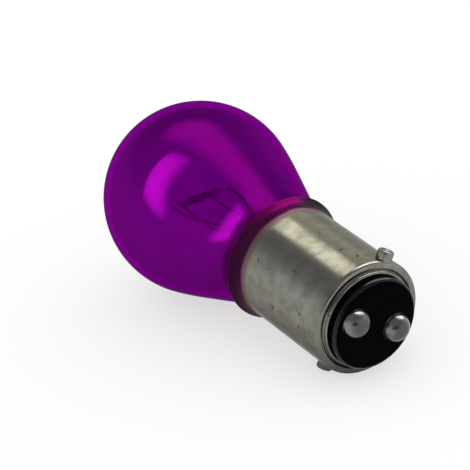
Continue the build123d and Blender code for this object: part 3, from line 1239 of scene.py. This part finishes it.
@dataclass
class Mount:
    """The filament mount: stem, bead, lead wires and the two coiled filaments.

    The ground wire's way over the lip is given as places of (radius, height).
    """

    shop: Workshop
    turn: float = 67.5
    ground_turn: float = 112.5
    wire_radius: float = 0.175
    bend_radius: float = 0.3
    light_centre: float = 35.8
    filament_offset: float = 2.8
    major_reach: float = 4.0
    major_side: float = -0.7
    minor_reach: float = 2.9
    minor_side: float = 1.5
    overrun: float = 0.5
    bead_top: float = 28.7
    bead_foot: float = 24.3
    press_top: float = 21.8
    outer_bead: float = 3.3
    inner_bead: float = 2.0
    outer_press: float = 2.75
    inner_press: float = 1.85
    ground_press: float = 2.4
    bracket_end: Flat = (2.8165, 23.2)
    cap_crossing: float = 4.6
    contact_run: float = 4.0
    contact_end: float = -2.575
    contact_reach: float = 3.25
    seal_crossing: float = 9.4
    lip_way: tuple[Flat, ...] = (
        (5.9, 9.4), (7.0, 16.4), (7.535, 17.625), (7.81, 18.55), (8.68, 18.55), (8.68, 16.7),
    )

    @property
    def minor_height(self) -> float:
        """Height of the minor filament."""
        return self.light_centre + self.filament_offset

    def point(self, reach: float, side: float, height: float) -> Point:
        """Point of the mount: along the filaments, across them and up the axis."""
        angle = radians(self.turn)
        return (reach * cos(angle) - side * sin(angle), reach * sin(angle) + side * cos(angle), height)

    def lip_point(self, reach: float, height: float) -> Point:
        """Point on the ground wire's way over the lip."""
        angle = radians(self.ground_turn)
        return (reach * cos(angle), reach * sin(angle), height)

    def run(self, end: float, reach: float, side: float, bead: float, press: float) -> list[Point]:
        """Corners of a wire from its filament's end down through the bead into the press.

        Args:
            end: Height of the filament.
            reach: How far along the filament the wire stands.
            side: How far beside the middle it stands.
            bead: How far along it passes the bead.
            press: How far along it enters the press.

        Returns:
            The corners in the bulb's axes.
        """
        return [
            self.point(reach, side, end + self.overrun),
            self.point(reach, side, end - self.filament_offset),
            self.point(bead, 0, self.bead_top),
            self.point(bead, 0, self.bead_foot),
            self.point(press, 0, self.press_top),
        ]

    def lead_route(self, side: int, upper: list[Point], press: float) -> list[Point]:
        """Corners of a feed wire, from its upper run on down to its contact.

        Args:
            side: Side of the contact, 1 or -1.
            upper: Corners of the upper run.
            press: How far along the wire leaves the press.

        Returns:
            The corners in the bulb's axes.
        """
        contact = side * self.contact_reach
        crossing = self.point(press, 0, self.cap_crossing)
        return upper + [crossing, (0, contact, self.contact_run), (0, contact, self.contact_end)]

    def ground_route(self, upper: list[Point]) -> list[Point]:
        """Corners of the ground wire, from its upper run out under the seal and over the lip."""
        crossing = self.point(self.ground_press, 0, self.seal_crossing)
        return upper + [crossing] + [self.lip_point(*place) for place in self.lip_way]

    def wire_routes(self) -> dict[str, list[Point]]:
        """Works out the way of the four wires.

        Returns:
            Corners of each wire by node.
        """
        outer = (self.light_centre, -self.major_reach, self.major_side, -self.outer_bead, -self.outer_press)
        inner = (self.minor_height, -self.minor_reach, self.minor_side, -self.inner_bead, -self.inner_press)
        ground = (self.light_centre, self.major_reach, self.major_side, self.outer_bead, self.ground_press)
        bracket = (self.minor_height, self.minor_reach, self.minor_side, self.inner_bead, self.ground_press)
        bracket_reach, bracket_foot = self.bracket_end
        return {
            "major_lead_wire": self.lead_route(-1, self.run(*outer), -self.outer_press),
            "minor_lead_wire": self.lead_route(1, self.run(*inner), -self.inner_press),
            "ground_wire": self.ground_route(self.run(*ground)),
            "minor_bracket_wire": self.run(*bracket)[:-1] + [self.point(bracket_reach, 0, bracket_foot)],
        }

    def build_wire(self, node: str, corners: list[Point]) -> None:
        """Lays one wire along its corners.

        Args:
            node: Node that the wire stands for.
            corners: Corners of its way in the bulb's axes.
        """
        values = {
            "Wire radius": self.wire_radius,
            "Bend radius": self.bend_radius,
            "Finish": self.shop.finishes[Slot.LEAD_WIRE],
        }
        mesh = self.shop.wire.run(f"{node}_bent", path_mesh(corners), values)
        self.shop.settle(node, mesh, Slot.LEAD_WIRE)

    def filaments(self) -> tuple[Filament, Filament]:
        """Gives the bright filament and the dim one above it.

        Returns:
            The two filaments.
        """
        major = Filament(
            "major_filament", self.light_centre, self.major_reach, self.major_side,
            turns=14, coil_radius=0.42, wire_radius=0.065, leg_share=0.18,
        )
        minor = Filament(
            "minor_filament", self.minor_height, self.minor_reach, self.minor_side,
            turns=16, coil_radius=0.24, wire_radius=0.04, leg_share=0.2,
        )
        return major, minor

    def build(self) -> None:
        """Builds every piece of the mount."""
        for node in ("glass_stem", "exhaust_tube", "glass_bead"):
            self.shop.smooth_copy(node, Slot.CLEAR_GLASS)
        for node, corners in self.wire_routes().items():
            self.build_wire(node, corners)
        for filament in self.filaments():
            filament.build(self.shop, self.turn)


# Studio

def direction(azimuth: float, elevation: float) -> Vector:
    """Points the way of an azimuth, from +Y toward +X, and an elevation.

    Args:
        azimuth: Azimuth in degrees.
        elevation: Elevation in degrees.

    Returns:
        The way as a vector of length 1.
    """
    side = radians(azimuth)
    rise = radians(elevation)
    return Vector((sin(side) * cos(rise), cos(side) * cos(rise), sin(rise)))


@dataclass(frozen=True)
class Panel:
    """A flat soft lamp that faces the bulb from a direction, with its width and height in degrees."""

    name: str
    reach: Reach
    azimuth: float
    elevation: float
    distance: float
    width: float
    height: float
    radiance: float
    colour: Colour = (1.0, 1.0, 1.0)
    softness: float = 0.7
    roll: float = 0.0

    def build(self) -> None:
        """Hangs the lamp; its power follows from how bright its face looks."""
        lamp = bpy.data.lights.new(self.name, "AREA")
        lamp.shape = "RECTANGLE"
        lamp.size = 2 * self.distance * tan(radians(self.width / 2))
        lamp.size_y = 2 * self.distance * tan(radians(self.height / 2))
        lamp.energy = self.radiance * pi * lamp.size * lamp.size_y
        lamp.color = self.colour
        self.soften(lamp)
        holder = add_object(self.name, lamp)
        toward = direction(self.azimuth, self.elevation)
        holder.location = toward * self.distance
        level = toward.to_track_quat("Z", "Y").to_matrix()
        holder.rotation_euler = (level @ Matrix.Rotation(radians(self.roll), 3, "Z")).to_euler()
        holder.visible_camera = False
        holder.visible_diffuse = False
        self.link_glass(holder)

    def soften(self, lamp: AreaLight) -> None:
        """Lets the lamp's face fade to its edges, as an ellipse.

        Args:
            lamp: Lamp to change.
        """
        lamp.use_nodes = True
        graph = Graph(lamp.node_tree)
        face = graph.add("ShaderNodeNewGeometry").outputs["Parametric"]
        across = graph.add("ShaderNodeSeparateXYZ", {0: face}).outputs
        shares = [graph.math("MULTIPLY", graph.math("SUBTRACT", 1.0, way), way) for way in across[:2]]
        # 1 in the middle of the face, 0 on the ellipse that touches its sides
        inside = graph.math("MULTIPLY_ADD", graph.math("ADD", *shares), 4.0, -1.0)
        graph.feed(lamp.node_tree.nodes["Emission"], {"Strength": graph.ramp(inside, 0.0, self.softness)})

    def link_glass(self, holder: Object) -> None:
        """Sends the lamp's light only to the glass, or keeps it off the glass.

        Args:
            holder: The lamp's object.
        """
        linked = bpy.data.collections.new(f"{self.name} glass")
        linked.objects.link(bpy.data.objects["glass_envelope_turned"])
        linked.collection_objects[0].light_linking.link_state = self.reach.value
        holder.light_linking.receiver_collection = linked


@dataclass
class Studio:
    """Pale floor, grey room, soft lamps and the camera of the photograph."""

    floor_size: float = 4.0
    floor_colour: Colour = (0.4, 0.4, 0.4)
    floor_fibre: float = 0.98
    floor_lift: float = 0.625
    room: Colour = (0.34, 0.34, 0.345)
    fill: Colour = (0.95, 0.95, 0.95)
    horizon: Flat = (8.0, 44.0)
    dark_side: Colour = (0.05, 0.05, 0.05)
    dark_toward: Point = (0.87, -0.49, 0.0)
    dark_edge: Flat = (0.8, 0.96)
    focal_pixels: float = 2256.0
    image_pixels: float = 470.0
    sensor: float = 36.0
    clip: float = 0.01
    distance: float = 0.285
    aim: Point = (-0.00036, -0.00318, 0.01259)
    azimuth: float = 119.09
    elevation: float = 23.98
    roll: float = -9.03
    # The numbers in a row are azimuth, elevation, distance, width, height and radiance
    panels: tuple[Panel, ...] = (
        Panel("Strip lamp", Reach.GLASS, -164.8, 41, 0.6, 11.2, 78, 6.6, softness=1.0, roll=4),
        Panel("Top panel", Reach.NOT_GLASS, -75, 51.5, 0.6, 27, 40, 2.5, (1.0, 0.97, 0.8), roll=-16),
        Panel("Warm card", Reach.NOT_GLASS, -50, 34, 0.6, 40, 36, 0.55, (1.0, 0.95, 0.65), softness=1.0),
        Panel("Back panel", Reach.NOT_GLASS, 0, 51, 0.6, 44, 64, 4.6, softness=0.4),
        Panel("Rosy card", Reach.GLASS, -52, 69, 0.8, 62, 44, 2.2, (1.0, 0.5, 0.66), softness=1.0),
    )

    def build_floor(self) -> None:
        """Lays the floor, which shows white to the camera and in gloss and glass, and keeps its shadow."""
        form = bmesh.new()
        bmesh.ops.create_grid(form, x_segments=1, y_segments=1, size=self.floor_size / 2)
        mesh = bpy.data.meshes.new("floor")
        form.to_mesh(mesh)
        form.free()
        mesh.materials.append(self.floor_finish())
        floor = add_object("floor", mesh)

    def floor_finish(self) -> Material:
        """Makes the pale card, with a faint fibre and a lift where it is seen.

        Returns:
            The material.
        """
        material = bpy.data.materials.new("Pale card")
        material.use_nodes = True
        nodes = material.node_tree.nodes
        graph = Graph(material.node_tree)
        surface = nodes["Principled BSDF"]
        fibre = tuple(self.floor_fibre * part for part in self.floor_colour)
        shade = graph.mix(graph.noise(scale=900.0, detail=4.0), rgba(self.floor_colour), rgba(fibre))
        graph.feed(surface, {"Base Color": shade, "Roughness": 0.9, "Specular IOR Level": 0.1})
        strength = graph.math("MULTIPLY", graph.seen(), self.floor_lift)
        lift = graph.add("ShaderNodeEmission", {"Strength": strength})
        both = graph.add("ShaderNodeAddShader", {0: surface.outputs[0], 1: lift.outputs[0]})
        graph.feed(nodes["Material Output"], {"Surface": both.outputs[0]})
        return material

    def build_room(self) -> None:
        """Fills the room with even light: grey where it is seen, white along the horizon, one dark side."""
        world = bpy.data.worlds.new("Grey room")
        world.use_nodes = True
        graph = Graph(world.node_tree)
        way = graph.add("ShaderNodeTexCoord").outputs["Generated"]
        rise = graph.add("ShaderNodeSeparateXYZ", {0: way}).outputs["Z"]
        low, high = (sin(radians(angle)) for angle in self.horizon)
        backdrop = graph.mix(graph.ramp(rise, low, high, 1.0, 0.0), rgba(self.room), (1, 1, 1, 1))
        facing = graph.add("ShaderNodeVectorMath", {0: way, 1: self.dark_toward}, operation="DOT_PRODUCT")
        dark = graph.ramp(facing.outputs["Value"], *self.dark_edge)
        backdrop = graph.mix(dark, backdrop, rgba(self.dark_side))
        shade = graph.mix(graph.seen(), rgba(self.fill), backdrop)
        graph.feed(world.node_tree.nodes["Background"], {"Color": shade})
        world.cycles.sampling_method = "NONE"
        bpy.context.scene.world = world

    def build_camera(self) -> None:
        """Sets the camera where the photograph was taken from."""
        data = bpy.data.cameras.new("Photo camera")
        data.sensor_width = self.sensor
        data.lens = self.sensor * self.focal_pixels / self.image_pixels
        data.clip_start = self.clip
        camera = add_object("Photo camera", data)
        back = direction(self.azimuth, self.elevation)
        right = Vector((0, 0, 1)).cross(back).normalized()
        level = Matrix((right, back.cross(right), back)).transposed().to_4x4()
        place = Matrix.Translation(Vector(self.aim) + back * self.distance)
        camera.matrix_world = place @ level @ Matrix.Rotation(radians(self.roll), 4, "Z")
        bpy.context.scene.camera = camera

    def build(self) -> None:
        """Builds floor, room, lamps and camera."""
        self.build_floor()
        self.build_room()
        for panel in self.panels:
            panel.build()
        self.build_camera()
        bpy.context.scene.view_settings.view_transform = "Standard"


def main() -> None:
    """Builds the bulb and its studio."""
    logging.basicConfig(level=logging.INFO, format="%(name)s: %(message)s")
    axes = BulbAxes.from_record(frame["record"])
    groups = SharedGroups(axes)
    finishes = {slot: finish.build(groups) for slot, finish in FINISHES.items()}
    shop = Workshop(axes, finishes)
    Envelope(shop).build()
    Cap(shop).build()
    Mount(shop).build()
    Studio().build()


if __name__ == "__main__":
    main()
